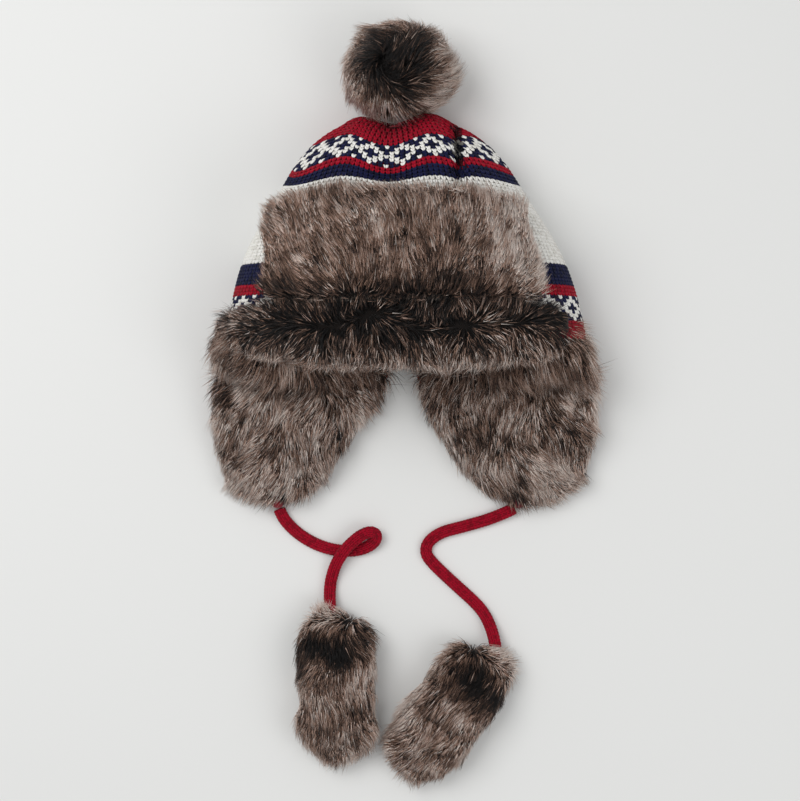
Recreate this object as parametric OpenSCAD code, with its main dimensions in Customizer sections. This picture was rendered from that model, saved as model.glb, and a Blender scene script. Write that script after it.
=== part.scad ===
// Knitted trapper hat with a fur front flap, two fur ear flaps on ties, and a pompom.
// The hat lies on its back: +X is the wearer's left, +Y points to the crown, +Z is up.
// The origin is at the middle of the hat's footprint, without its ties and tassels.

/* [Crown] */
// Half of the flat width across the rim
crown_half_w = 123; // [110:1:130]
// Height of the crown as it lies
crown_h = 84; // [70:1:95]
// Where the knitted rim ends, along Y
rim_y = -55; // [-60:1:-50]
// Where the crown is gathered, along Y
crown_top_y = 91; // [85:1:95]
// Thickness of the knitted shell
knit_t = 3.4; // [2:0.1:4]
// Thickness of the fleece lining
lining_t = 3.4; // [2:0.1:4]

/* [Front flap] */
// Where the front flap folds, along Y
flap_fold_y = -29; // [-34:1:-25]
// Length of the front flap from its fold to its edge
front_flap_l = 76; // [60:1:80]
// Half width of the front flap at its fold
front_flap_half_w = 101; // [80:1:105]
// Thickness of the fur on the front flap
front_fur_t = 10; // [6:1:12]
// Thickness of the flap's cloth backing
backing_t = 2; // [1:0.5:3]

/* [Ear flaps] */
// Where the ear flaps fold, along Y
ear_fold_y = -79; // [-82:1:-78]
// Length of an ear flap from its fold to its tip
ear_flap_l = 84; // [70:1:86]
// Height of an ear flap's fur over the table
ear_fur_h = 25; // [18:1:30]
// Thickness of an ear flap's knitted outer
ear_knit_t = 3; // [2:0.5:4]

/* [Pompom] */
// Radius of the pompom at the middle of its pile
pompom_r = 35; // [28:1:36]
// Radius of the pompom's stuffing
pompom_core_r = 23; // [15:1:26]
// Where the pompom's centre lies, along Y
pompom_y = 129.5; // [129.5:0.5:134]

/* [Ties and tassels] */
// Width of the flat knitted tie
tie_w = 8; // [6:0.5:9]
// Thickness of the flat knitted tie
tie_t = 4.4; // [3:0.2:5]
// Half width of a tassel
tassel_half_w = 27; // [20:1:27]
// Length of a tassel
tassel_l = 100; // [80:1:100]
// Height of a tassel as it lies
tassel_h = 31; // [24:1:34]
// Thickness of a tassel's fur
tassel_fur_t = 6; // [4:0.5:8]

/* [Hidden] */

// Clear gap between neighbouring layers
gap = 0.3;
// The crown's middle at its top and at its rim, along X
crown_lean = -4;
rim_lean = 2;
// The length of the full crown curve, which the gather cuts short
crown_curve_l = 160;
crown_curve_y0 = -60;
// The fur rolls keep this far in front of the knitted rim
rim_front = rim_y - 0.6;
// Points round a section of the crown
crown_sides = 40;

fur_brown = "#6b5a50";
fur_dark = "#2e2724";
knit_red = "#a50f2b";
knit_cream = "#e8e5dd";
fleece_cream = "#e9e4d8";

// Pivots: the wearer's right ear flap lies at -X, and the wearer's left one at +X
pompom_pivot = [crown_lean, crown_top_y + 1.9, 34];
// Height of the gather's middle
gather_z = 24;
tack_r = 4.5;
left_tack = [80, -169.5, 6];
right_tack = [-90, -169.5, 6];
left_tassel_pivot = [64, -280, 12];
right_tassel_pivot = [-52.5, -249, 12];
left_tassel_turn = -37;
right_tassel_turn = 1;
// How far each tassel's body lies to one side of its neck
left_tassel_shift = -6;
right_tassel_shift = 3.5;

// Centreline of each tie, from its tack to its tassel
left_route = [
    [77, -173.8, 5], [72, -176.4, 4], [66, -179, 3], [57, -182.4, 2.5], [47, -185.3, 2.4],
    [37, -188, 2.4], [28, -190.4, 2.4], [20.5, -194.2, 2.4], [15.4, -199.6, 2.4], [14.8, -206.4, 2.4],
    [19.6, -213, 2.4], [26, -219.4, 2.4], [33.5, -226.4, 2.4], [41, -233.2, 2.4], [48.4, -240, 2.6],
    [54.6, -247, 3.2], [59, -255, 4.6], [61.8, -263, 7], [63.2, -270, 9.6], [63.8, -276, 11.6], [64, -279.6, 12]
];
right_route = [
    [-89, -174.4, 5], [-86.6, -180, 4], [-83, -185, 3], [-78, -190, 2.5], [-72, -194.5, 2.4],
    [-64, -199, 2.4], [-55, -202.3, 2.4], [-46, -204, 2.4], [-37, -204, 2.4], [-30, -202.6, 2.8],
    [-24, -199.6, 4], [-20.4, -195.4, 6], [-20.6, -191.6, 8], [-24.5, -190.2, 9.4], [-30, -192, 9.6],
    [-36, -196.4, 9], [-41.6, -202, 8.6], [-46.4, -208.6, 7.4], [-50, -216, 5.2], [-52.6, -225, 3.2],
    [-53.4, -233, 4], [-53.2, -240, 7.6], [-52.8, -245, 11], [-52.5, -248.6, 12]
];

function spow(v, p) = sign(v) * pow(abs(v), p);
function clamp01(v) = max(0, min(1, v));

// How far along the crown's full curve y lies, from 0 at the rim to 1 at the closed end
function along(y) = clamp01((y - crown_curve_y0) / crown_curve_l);
function crown_w(y) = crown_half_w * pow(1 - pow(along(y), 1.5), 0.4);
function crown_top(y) = crown_h * sqrt(1 - pow(along(y), 4));
function crown_bottom(y) = 6 * pow(along(y), 6);
function crown_mid(y) = crown_bottom(y) + 0.36 * (crown_top(y) - crown_bottom(y));
function crown_x(y) = rim_lean + (crown_lean - rim_lean) * pow(along(y), 0.6);

// One point of the crown's section at y, turned by angle a, and set in by inset
function crown_point(y, a, inset) =
    let (
        w = crown_w(y) - inset,
        up = crown_top(y) - crown_mid(y) - inset,
        down = crown_mid(y) - crown_bottom(y) - inset,
        power = sin(a) >= 0 ? 2 / 2.3 : 2 / 3.4,
        z = sin(a) >= 0
            ? crown_mid(y) + up * spow(sin(a), power)
            : max(crown_bottom(y) + inset, crown_mid(y) + (down + 2.5) * spow(sin(a), power))
    )
    [crown_x(y) + w * spow(cos(a), power), y, z];

function crown_ring(y, inset) =
    [for (i = [0 : crown_sides - 1]) crown_point(y, 360 * i / crown_sides, inset)];

// Closed solid through rings of equally many points, with a flat face at each end.
// A crescent's ends are strips between its two long edges, as one face would cut across its hollow.
module skin(rings, crescent = false) {
    n = len(rings[0]);
    m = len(rings);
    sides = [
        for (j = [0 : m - 2], i = [0 : n - 1])
        let (a = j * n + i, b = j * n + (i + 1) % n)
        each [[a, a + n, b], [b, a + n, b + n]]
    ];
    first = [for (i = [0 : n - 1]) i];
    last = [for (i = [n - 1 : -1 : 0]) (m - 1) * n + i];
    strip = [for (i = [0 : n / 2 - 1]) each [[i, i + 1, (n - i) % n], [i + 1, n - i - 1, (n - i) % n]]];
    first_strip = [for (t = strip) if (t[0] != t[2] && t[0] != t[1] && t[1] != t[2]) t];
    last_strip = [for (t = first_strip) [for (k = [2 : -1 : 0]) (m - 1) * n + t[k]]];
    ends = crescent ? concat(first_strip, last_strip) : [first, last];
    polyhedron([for (r = rings) each r], concat(sides, ends), convexity = 6);
}

// A cup: the outer rings run to the mouth and the inner ones run back in
module crown_cup(outset, thickness, mouth_y, end_y) {
    steps = 11;
    outer = [for (k = [0 : steps]) let (u = k / steps) end_y + (mouth_y - end_y) * pow(u, 1.4)];
    inner_end = end_y - thickness;
    inner = [for (k = [steps : -1 : 0]) let (u = k / steps) inner_end + (mouth_y - inner_end) * pow(u, 1.4)];
    skin(concat(
        [for (y = outer) crown_ring(y, outset)],
        [for (y = inner) crown_ring(y, outset + thickness)]
    ));
}

module knit_shell() {
    color(knit_cream) crown_cup(0, knit_t, rim_y, crown_top_y);
}

module crown_lining() {
    color(fleece_cream) crown_cup(knit_t + gap, lining_t, rim_y + 3, crown_top_y - knit_t - gap);
}

// Fur roll over part of the rim: each station is the roll's section, set out along the crown's normal.
// Past the rim the section is drawn in towards the hat's sides.
module rim_roll(profile, from_a, to_a, stations, draw_in) {
    skin([
        for (k = [0 : stations])
        let (
            a = from_a + (to_a - from_a) * k / stations,
            base = crown_point(rim_y, a, 0),
            ahead = crown_point(rim_y, a + 0.5, 0),
            dx = ahead[0] - base[0],
            dz = ahead[2] - base[2],
            len = norm([dx, dz]),
            reach = 1 - draw_in * pow(abs(base[0]) / crown_half_w, 3)
        )
        [
            for (p = profile)
            let (y = p[0] < rim_front ? rim_front + (p[0] - rim_front) * reach : p[0])
            [base[0] + p[1] * dz / len, y, base[2] - p[1] * dx / len]
        ]
    ]);
}

module brow_band_fur() {
    // Y and the height over the knit's outer face
    brow = [
        [-31, 0.8], [-33, 6], [-40, 9], [-52, 10.5], [-63, 9], [-71, 4], [-74, -2], [-71, -9], [-63, -12],
        [-57, -11], [rim_front, -7], [rim_front, 0.8]
    ];
    color(fur_dark) rim_roll(brow, 176, 12, 32, 0.6);
}

module nape_band_fur() {
    // Y and the height over the knit's outer face, below zero towards the head
    nape = [
        [rim_front, 0], [rim_front, -8], [-60, -11], [-68, -12], [-73, -9], [-75, -5], [-74.5, 0]
    ];
    color(fur_brown) rim_roll(nape, 358, 182, 32, 0.5);
}

module gather_thread() {
    color(knit_red)
    translate([crown_lean, crown_top_y + 0.9, gather_z])
    rotate([90, 0, 0])
    rotate_extrude($fn = 48)
    translate([7, 0])
    circle(r = 0.7, $fn = 16);
}

module anchor_button() {
    lining_end_y = crown_top_y - knit_t - gap - lining_t;
    color("#3a332e")
    translate([crown_lean, lining_end_y - gap, gather_z])
    rotate([90, 0, 0])
    difference() {
        cylinder(r = 6, h = 2.4, $fn = 48);
        for (side = [-1, 1])
            translate([side * 2, 0, -1]) cylinder(r = 0.8, h = 5, $fn = 24);
    }
}

module blank_label() {
    floor_z = knit_t + gap + lining_t;
    color("#f2f0ea")
    translate([-14, -38, floor_z + gap])
    cube([28, 16, 0.8]);
}

module pompom_tether() {
    color("#3a332e") translate(pompom_pivot) sphere(r = 1.4, $fn = 32);
}

module pompom_fur() {
    color(fur_brown)
    translate([crown_lean, pompom_y, pompom_r])
    difference() {
        sphere(r = pompom_r, $fn = 64);
        sphere(r = pompom_core_r + gap, $fn = 64);
    }
}

module pompom_stuffing() {
    color("#d9d5cc") translate([crown_lean, pompom_y, pompom_r]) sphere(r = pompom_core_r, $fn = 64);
}

// Height of the front flap's underside over the crown
function arch(x) = 1 - 0.24 * pow(abs(x) / 105, 2.6);
function front_floor(x, y) = crown_top(y) * arch(x) + 1.2;
// The flap's edge: it runs nearly straight and turns in at the free end
function front_half(v) = front_flap_half_w * (1 - 0.05 * v) * pow(1 - pow(v, 30), 0.5);
// The free edge stands a little higher than the fold
front_lift = 1.5;

function front_ring(v, low, high) =
    let (n = 40, y = flap_fold_y + 1 + front_flap_l * v, half = front_half(v))
    [
        for (i = [0 : n - 1])
        let (
            a = -360 * i / n,
            x = half * spow(cos(a), 0.8),
            skew = (x > 0 ? -9 : -2) * pow(v * x / front_flap_half_w, 2),
            level = 0.5 + 0.5 * spow(sin(a), 0.5)
        )
        [x, y + skew, front_floor(x, y) + front_lift * v + low + (high - low) * level]
    ];

front_steps = [0, 0.06, 0.15, 0.27, 0.4, 0.53, 0.66, 0.78, 0.87, 0.93, 0.97, 0.99];

module front_flap_fur() {
    floor_h = backing_t + gap;
    color(fur_brown)
    skin([
        for (v = front_steps)
        let (thin = 0.35 + 0.65 * sqrt(1 - pow(1 - clamp01(v / 0.25), 2)) - 0.5 * pow(v, 12))
        front_ring(v, floor_h, floor_h + front_fur_t * thin)
    ], crescent = true);
}

module front_flap_backing() {
    color("#8f8378") skin([for (v = front_steps) front_ring(v, 0, backing_t)], crescent = true);
}

// Edges of the ear flap on the wearer's right, at the distance d past the fold
function right_outer(d) = -132 + 14 * pow(clamp01((d - 15) / 68), 3);
function right_inner(d) = -12 - 0.66 * d;
// Edges of the ear flap on the wearer's left
function left_outer(d) = 131 - 14 * pow(clamp01((d - 15) / 68), 3);
function left_inner(d) = 8 + 0.3 * d + 0.0036 * d * d;

// The flap's outer side curls up from the table where it joins the hat's side
function ear_curl(x, d) = 12 * pow(clamp01((abs(x) - 92) / 42), 2) * (1 - clamp01(d / 60));

function ear_ring(d, edge_a, edge_b, low, high) =
    let (
        n = 32,
        tip = clamp01((d - 0.8 * ear_flap_l) / (0.2 * ear_flap_l)),
        mid = (edge_a + edge_b) / 2,
        half = (edge_b - edge_a) / 2 * pow(1 - 0.9 * pow(tip, 2.5), 0.5)
    )
    [
        for (i = [0 : n - 1])
        let (
            a = -360 * i / n,
            x = mid + half * spow(cos(a), 0.8),
            level = 0.5 + 0.5 * spow(sin(a), 0.6)
        )
        [x, ear_fold_y - 1 - d, ear_curl(x, d) + low + (high - low) * level]
    ];

ear_steps = [0, 0.05, 0.12, 0.22, 0.34, 0.46, 0.58, 0.7, 0.8, 0.88, 0.94, 0.98, 1];

// The fur swells from its seam, is highest past the middle, and thins at the tip
function ear_fur_top(u) = 7 + (ear_fur_h - 7) * pow(sin(180 * pow(0.05 + 0.9 * u, 0.8)), 0.6);

module ear_flap_fur(side) {
    color(fur_brown)
    skin([
        for (k = [len(ear_steps) - 1 : -1 : 0])
        let (u = ear_steps[k], d = u * ear_flap_l)
        side > 0
            ? ear_ring(d, left_inner(d), left_outer(d), ear_knit_t + gap, ear_fur_top(u))
            : ear_ring(d, right_outer(d), right_inner(d), ear_knit_t + gap, ear_fur_top(u))
    ], crescent = true);
}

module ear_flap_knit(side) {
    color(knit_red)
    skin([
        for (k = [len(ear_steps) - 1 : -1 : 0])
        let (u = ear_steps[k], d = u * ear_flap_l)
        side > 0
            ? ear_ring(d, left_inner(d), left_outer(d), 0, ear_knit_t)
            : ear_ring(d, right_outer(d), right_inner(d), 0, ear_knit_t)
    ], crescent = true);
}

module tie_tack(place) {
    color(knit_red) translate(place) sphere(r = tack_r, $fn = 32);
}

// Flat tube along a route: the wide way stays level
module tie(route) {
    n = 10;
    last = len(route) - 1;
    color(knit_red)
    skin([
        for (k = [0 : last])
        let (
            a = route[max(0, k - 1)],
            b = route[min(last, k + 1)],
            run = norm([b[0] - a[0], b[1] - a[1]]),
            across = [(b[1] - a[1]) / run, -(b[0] - a[0]) / run, 0],
            forward = (b - a) / norm(b - a),
            up = cross(across, forward)
        )
        [
            for (i = [0 : n - 1])
            let (t = 360 * (i + 0.5) / n)
            route[k] + across * (tie_w / 2) * cos(t) + up * (tie_t / 2) * sin(t)
        ]
    ]);
}

// One ring of a pouch at the distance d from its neck, where it lies on the table
function pouch_ring(d, x, half_w, half_h, z) =
    let (n = 28)
    [
        for (i = [0 : n - 1])
        let (a = 360 * i / n)
        [x + half_w * spow(cos(a), 0.75), -d, z + half_h * spow(sin(a), 0.75)]
    ];
// The pouch is blunt at the neck, full in the middle and round at its foot
function pouch_w(u) = tassel_half_w * sqrt(1 - pow(abs(2 * u - 1), 5));
function pouch_h(u) = tassel_h / 2 * sqrt(1 - pow(abs(2 * u - 1), 3.5));
function pouch_x(u, shift) = shift * min(1, u / 0.12);

// Ring at u along the pouch, on its outside or set in by its thickness
function tassel_ring(u, shift, inset) =
    let (half_w = max(pouch_w(u) - inset, 3), half_h = max(pouch_h(u) - inset, 1.5))
    pouch_ring(tassel_l * u - 2, pouch_x(u, shift), half_w, half_h, max(pouch_h(u), neck_z));

neck_z = 12;
neck_half_w = 6.5;
neck_half_h = 5;
outer_steps = [0.995, 0.98, 0.95, 0.89, 0.8, 0.68, 0.54, 0.4, 0.26, 0.14, 0.07, 0.03];
inner_steps = [0.14, 0.26, 0.4, 0.54, 0.68, 0.8, 0.88];
filling_steps = [0.86, 0.8, 0.68, 0.54, 0.4, 0.3];

module tassel_place(pivot, turn) {
    translate([pivot[0], pivot[1], 0]) rotate([0, 0, turn]) children();
}

module tassel_fur(pivot, turn, shift) {
    color(fur_brown)
    tassel_place(pivot, turn)
    skin(concat(
        [for (u = outer_steps) tassel_ring(u, shift, 0)],
        [for (d = [1.2, tassel_fur_t + 1]) pouch_ring(d, 0, neck_half_w, neck_half_h, neck_z)],
        [for (u = inner_steps) tassel_ring(u, shift, tassel_fur_t)]
    ));
}

module tassel_stuffing(pivot, turn, shift) {
    color("#d9d5cc")
    tassel_place(pivot, turn)
    skin([for (u = filling_steps) tassel_ring(u, shift, tassel_fur_t + gap)]);
}

module tassel_knot(pivot, turn) {
    color(knit_red)
    tassel_place(pivot, turn)
    translate([0, -9, pivot[2]])
    sphere(r = 4, $fn = 32);
}

knit_shell();
crown_lining();
brow_band_fur();
nape_band_fur();
gather_thread();
anchor_button();
blank_label();
pompom_tether();
pompom_fur();
pompom_stuffing();
front_flap_fur();
front_flap_backing();
ear_flap_fur(1);  // left_flap_fur
ear_flap_knit(1);  // left_flap_knit
tie_tack(left_tack);  // left_tie_tack
tie(left_route);  // left_tie
tassel_fur(left_tassel_pivot, left_tassel_turn, left_tassel_shift);  // left_tassel_fur
tassel_stuffing(left_tassel_pivot, left_tassel_turn, left_tassel_shift);  // left_tassel_stuffing
tassel_knot(left_tassel_pivot, left_tassel_turn);  // left_tassel_knot
ear_flap_fur(-1);  // right_flap_fur
ear_flap_knit(-1);  // right_flap_knit
tie_tack(right_tack);  // right_tie_tack
tie(right_route);  // right_tie
tassel_fur(right_tassel_pivot, right_tassel_turn, right_tassel_shift);  // right_tassel_fur
tassel_stuffing(right_tassel_pivot, right_tassel_turn, right_tassel_shift);  // right_tassel_stuffing
tassel_knot(right_tassel_pivot, right_tassel_turn);  // right_tassel_knot
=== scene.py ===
# %% [markdown]
# # A knitted trapper hat with long fur
#
# The hat lies on its back. +X is the wearer's left, +Y points to the crown and +Z is up. The packed
# model gives every body and node; this lesson dresses them: a stitched knit crown, fleece inside, a fur
# front flap, two fur ear flaps on knitted ties with fur tassels, and a fur pompom.

import bpy
import numpy as np
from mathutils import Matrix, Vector


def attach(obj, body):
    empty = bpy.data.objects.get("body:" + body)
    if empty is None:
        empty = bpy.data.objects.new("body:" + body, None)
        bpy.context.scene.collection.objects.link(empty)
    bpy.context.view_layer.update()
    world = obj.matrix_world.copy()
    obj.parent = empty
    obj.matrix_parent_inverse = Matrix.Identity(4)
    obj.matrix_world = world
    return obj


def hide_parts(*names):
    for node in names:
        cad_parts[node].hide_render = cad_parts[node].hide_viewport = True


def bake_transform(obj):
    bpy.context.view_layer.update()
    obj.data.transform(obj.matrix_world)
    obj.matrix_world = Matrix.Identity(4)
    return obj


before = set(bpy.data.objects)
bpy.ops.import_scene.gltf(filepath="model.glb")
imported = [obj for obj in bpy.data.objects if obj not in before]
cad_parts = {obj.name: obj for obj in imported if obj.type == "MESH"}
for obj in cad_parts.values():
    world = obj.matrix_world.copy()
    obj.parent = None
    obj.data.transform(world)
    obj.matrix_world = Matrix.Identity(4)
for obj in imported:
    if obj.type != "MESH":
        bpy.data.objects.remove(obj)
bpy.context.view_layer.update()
MM = 0.001
print("nodes in the frame:", len(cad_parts))

# %% [markdown]
# ## Camera, floor and light
#
# A hat like this is shown flat on a pale table, seen from straight above. One long lens keeps its outline
# free of perspective. A large soft light near the top left and a weaker one on the right model the fur,
# and the pale surroundings fill the shadows.

# %% Camera
VIEW_CENTRE = (-0.0038, -0.0978)
VIEW_HEIGHT = 1.235
VIEW_LENS = 78.3

lens = bpy.data.cameras.new("camera")
lens.sensor_width = 36
lens.lens = VIEW_LENS
camera = bpy.data.objects.new("camera", lens)
camera.location = (VIEW_CENTRE[0], VIEW_CENTRE[1], VIEW_HEIGHT)
bpy.context.scene.collection.objects.link(camera)
bpy.context.scene.camera = camera

# %% Light
world = bpy.data.worlds.new("pale studio")
world.use_nodes = True
world.node_tree.nodes["Background"].inputs["Color"].default_value = (0.93, 0.94, 0.95, 1)
world.node_tree.nodes["Background"].inputs["Strength"].default_value = 0.56
bpy.context.scene.world = world
bpy.context.scene.view_settings.view_transform = "Standard"


def softbox(name, place, aim, size, power):
    """A square area light at place, turned to face aim."""
    data = bpy.data.lights.new(name, "AREA")
    data.size = size
    data.energy = power
    box = bpy.data.objects.new(name, data)
    box.location = place
    box.rotation_euler = (Vector(aim) - Vector(place)).to_track_quat("-Z", "Y").to_euler()
    bpy.context.scene.collection.objects.link(box)


softbox("key light", (-0.7, 0.35, 1.3), (0.05, -0.1, 0), 1.0, 12.0)
softbox("fill light", (0.9, -0.6, 1.1), (0, -0.1, 0), 0.9, 4.0)

# %% [markdown]
# ## Meshes from arrays
#
# Every new piece is a closed surface worked out as whole arrays. `make_piece` puts points in millimetres
# and face lists into one mesh. `loft` joins rings of equally many points and closes both ends with a strip
# of triangles between the ring's two halves, which also suits a crescent.

# %% Mesh helpers
def unit(v):
    """Each row divided by its length."""
    return v / np.maximum(np.linalg.norm(v, axis=-1, keepdims=True), 1e-9)


def dot(a, b):
    """Row by row scalar product, kept as a column."""
    return (a * b).sum(axis=-1, keepdims=True)


def make_piece(name, points, faces, materials, tones=None):
    """A mesh object from points in mm and a list of face arrays, with a material slot for each face."""
    mesh = bpy.data.meshes.new(name)
    points = np.asarray(points, dtype=np.float32).reshape(-1, 3) * MM
    sizes = np.concatenate([np.full(len(f), f.shape[1]) for f in faces])
    corners = np.concatenate([f.ravel() for f in faces]).astype(np.int32)
    mesh.vertices.add(len(points))
    mesh.vertices.foreach_set("co", points.ravel())
    mesh.loops.add(len(corners))
    mesh.loops.foreach_set("vertex_index", corners)
    mesh.polygons.add(len(sizes))
    mesh.polygons.foreach_set("loop_start", np.concatenate([[0], np.cumsum(sizes)[:-1]]).astype(np.int32))
    for material in materials:
        mesh.materials.append(material)
    if tones is not None:
        mesh.polygons.foreach_set("material_index", np.asarray(tones, dtype=np.int32))
    mesh.polygons.foreach_set("use_smooth", np.ones(len(sizes), dtype=bool))
    mesh.update(calc_edges=True)
    mesh.validate()
    piece = bpy.data.objects.new(name, mesh)
    bpy.context.scene.collection.objects.link(piece)
    print(f"{name}: {int((sizes - 2).sum())} triangles")
    return piece


def loft_faces(rings, sides):
    """Quads between neighbouring rings, and a strip of triangles that closes each end."""
    ring = np.arange(rings - 1)[:, None] * sides
    side = np.arange(sides)[None, :]
    after = (side + 1) % sides
    quads = np.stack([ring + side, ring + sides + side, ring + sides + after, ring + after], -1)
    half = np.arange(1, sides // 2)
    strip = np.concatenate([
        np.stack([half - 1, half, sides - half], -1),
        np.stack([half, sides - half - 1, sides - half], -1),
    ])
    strip[0] = (0, 1, sides - 1)
    last = strip[:, ::-1] + (rings - 1) * sides
    return [quads.reshape(-1, 4), np.concatenate([strip, last])]


def loft(name, rings, material):
    """A closed piece through rings, an array of ring by point by coordinate. Flips itself if inside out."""
    count, sides = rings.shape[:2]
    faces = loft_faces(count, sides)
    points = rings.reshape(-1, 3)
    corner = points[faces[0]]
    normal = np.cross(corner[:, 2] - corner[:, 0], corner[:, 3] - corner[:, 1])
    if (normal * corner.mean(axis=1)).sum() < 0:
        faces = [f[:, ::-1] for f in faces]
    return make_piece(name, points, faces, [material]), (points, faces)


def spow(v, power):
    """A power that keeps the sign, which squares off a circle's cosine or sine."""
    return np.sign(v) * np.abs(v) ** power


def ramp01(v, low, high):
    """A smooth step from 0 at low to 1 at high."""
    t = np.clip((v - low) / (high - low), 0, 1)
    return t * t * (3 - 2 * t)


def ripple(points, scale, seed):
    """Smooth noise from -1 to 1: sines along six random directions, near scale mm long, summed."""
    rng = np.random.default_rng(seed)
    waves = rng.normal(size=(6, 3))
    per_mm = (2 * np.pi / scale) * rng.uniform(0.6, 1.5, (6, 1))
    waves *= per_mm / np.linalg.norm(waves, axis=1, keepdims=True)
    phase = rng.uniform(0, 2 * np.pi, 6)
    return np.sin(points @ waves.T + phase).sum(axis=-1) / 3.2


def sway(points, scale, seed):
    """Three ripples make one smooth vector for each point."""
    return np.stack([ripple(points, scale, seed + k) for k in range(3)], -1)


# %% [markdown]
# ## Shader maths as expressions
#
# Yarn, fleece, hide and fur differ mostly in how their roughness and small relief vary. `Value` wraps a
# node socket, so that `noise * 0.3 + 0.5` adds the Math nodes by itself. `Finish` starts a material.

# %% Socket class and finishes
class Value:
    """A number that varies over a surface: arithmetic on it adds Math nodes."""

    def __init__(self, tree, socket):
        self.tree = tree
        self.socket = socket

    def math(self, operation, a, b):
        node = self.tree.nodes.new("ShaderNodeMath")
        node.operation = operation
        for socket, value in zip(node.inputs, (a, b)):
            connect(self.tree, socket, value)
        return Value(self.tree, node.outputs[0])

    def __add__(self, other):
        return self.math("ADD", self, other)

    def __mul__(self, other):
        return self.math("MULTIPLY", self, other)

    def above(self, other):
        return self.math("GREATER_THAN", self, other)

    __radd__ = __add__
    __rmul__ = __mul__


def connect(tree, socket, value):
    """Link a wrapped value to a socket, or set the socket to a plain one."""
    if isinstance(value, Value):
        tree.links.new(value.socket, socket)
    else:
        socket.default_value = value


def linear(code):
    """A colour written as hex digits, in the renderer's linear scale."""
    part = np.array([int(code[k:k + 2], 16) for k in (1, 3, 5)]) / 255
    part = np.where(part <= 0.04045, part / 12.92, ((part + 0.055) / 1.055) ** 2.4)
    return (*part.tolist(), 1)


class Finish:
    """A material under construction, with the piece's own object coordinates ready as `place`."""

    def __init__(self, name, colour, roughness, sheen=0.0, specular=0.35):
        self.material = bpy.data.materials.new(name)
        self.material.use_nodes = True
        self.tree = self.material.node_tree
        self.surface = self.tree.nodes["Principled BSDF"]
        self.set(Base_Color=linear(colour), Roughness=roughness)
        self.set(Sheen_Weight=sheen, Specular_IOR_Level=specular)
        self.place = self.node("ShaderNodeTexCoord", {}, out="Object")

    def set(self, **sockets):
        for name, value in sockets.items():
            connect(self.tree, self.surface.inputs[name.replace("_", " ")], value)

    def node(self, kind, settings, out=0, **inputs):
        """Any node: its settings first, then the values or links of its sockets."""
        node = self.tree.nodes.new(kind)
        for name, value in settings.items():
            setattr(node, name, value)
        for name, value in inputs.items():
            key = int(name[1:]) if name[0] == "i" and name[1:].isdigit() else name.replace("_", " ")
            connect(self.tree, node.inputs[key], value)
        return Value(self.tree, node.outputs[out])

    def noise(self, scale, detail=3.0):
        return self.node("ShaderNodeTexNoise", {}, out="Fac", Vector=self.place, Scale=scale, Detail=detail)

    def mix(self, factor, a, b):
        """A colour between a and b."""
        kind = {"data_type": "RGBA"}
        return self.node("ShaderNodeMix", kind, out=2, i0=factor, i6=a, i7=b)

    def relief(self, height, strength, distance):
        """Bump from a height that varies over the surface."""
        bump = self.node("ShaderNodeBump", {}, Height=height, Strength=strength, Distance=distance)
        self.set(Normal=bump)


def fur_tone(name, colour):
    """One tone of pile: glossy along a clean hair, duller where it is mussed."""
    finish = Finish(name, colour, 0.5, sheen=0.03, specular=0.4)
    finish.set(Roughness=finish.noise(900, 1.0) * 0.3 + 0.36)
    return finish.material


def yarn_tone(name, colour):
    """One tone of wool yarn: dull and downy, with its ply showing as fine relief."""
    finish = Finish(name, colour, 0.85, sheen=0.04, specular=0.12)
    finish.set(Roughness=finish.noise(1500, 2.0) * 0.2 + 0.74)
    finish.relief(finish.noise(2600, 2.0), 0.5, 0.0004)
    return finish.material


FUR = [
    fur_tone(f"pile tone {k}", code)
    for k, code in enumerate(
        ["#0a0605", "#1e1512", "#3b2a21", "#5e4639", "#826454", "#a68572", "#c6a797", "#e0cabd", "#f1e4db"]
    )
]
# Each yarn has its own tone, a darker tone for random stitches, and a third, darkest tone that is painted
# shade for stitches at the bottom of a fold.
YARN = {
    "red": [yarn_tone("red yarn", "#a30725"), yarn_tone("deep red yarn", "#88051d"),
            yarn_tone("red yarn in painted shade", "#3f020d")],
    "navy": [yarn_tone("navy yarn", "#171b40"), yarn_tone("dark navy yarn", "#0f122c"),
             yarn_tone("navy yarn in painted shade", "#070814")],
    "cream": [yarn_tone("cream yarn", "#f8f6f1"), yarn_tone("shaded cream yarn", "#eae7e0"),
              yarn_tone("cream yarn in painted shade", "#77746f")],
}
YARNS = [tone for shades in YARN.values() for tone in shades]
FIRST_TONE = {"red": 0, "navy": 3, "cream": 6}
print("finishes ready:", len(FUR) + len(YARNS))

# %% Floor
table = Finish("pale table", "#e4e4e2", 0.7, specular=0.2)
table.set(Roughness=table.noise(6, 2.0) * 0.1 + 0.62)
reach = 4000.0
floor = make_piece(
    "table", [(-reach, -reach, 0), (reach, -reach, 0), (reach, reach, 0), (-reach, reach, 0)],
    [np.array([[0, 1, 2, 3]])], [table.material],
)

# %% [markdown]
# ## The ties
#
# Each tie is a flat tubular knit, 8 mm wide, limp enough to lie where it falls. It leaves the tack at an
# ear flap's tip, wanders over the table and ends in its tassel's neck. The route is a list of points in
# mm, and a smooth curve through them carries the strap's section. The ties come before anything else,
# because their length and place decide how far the hat spreads.

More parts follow.
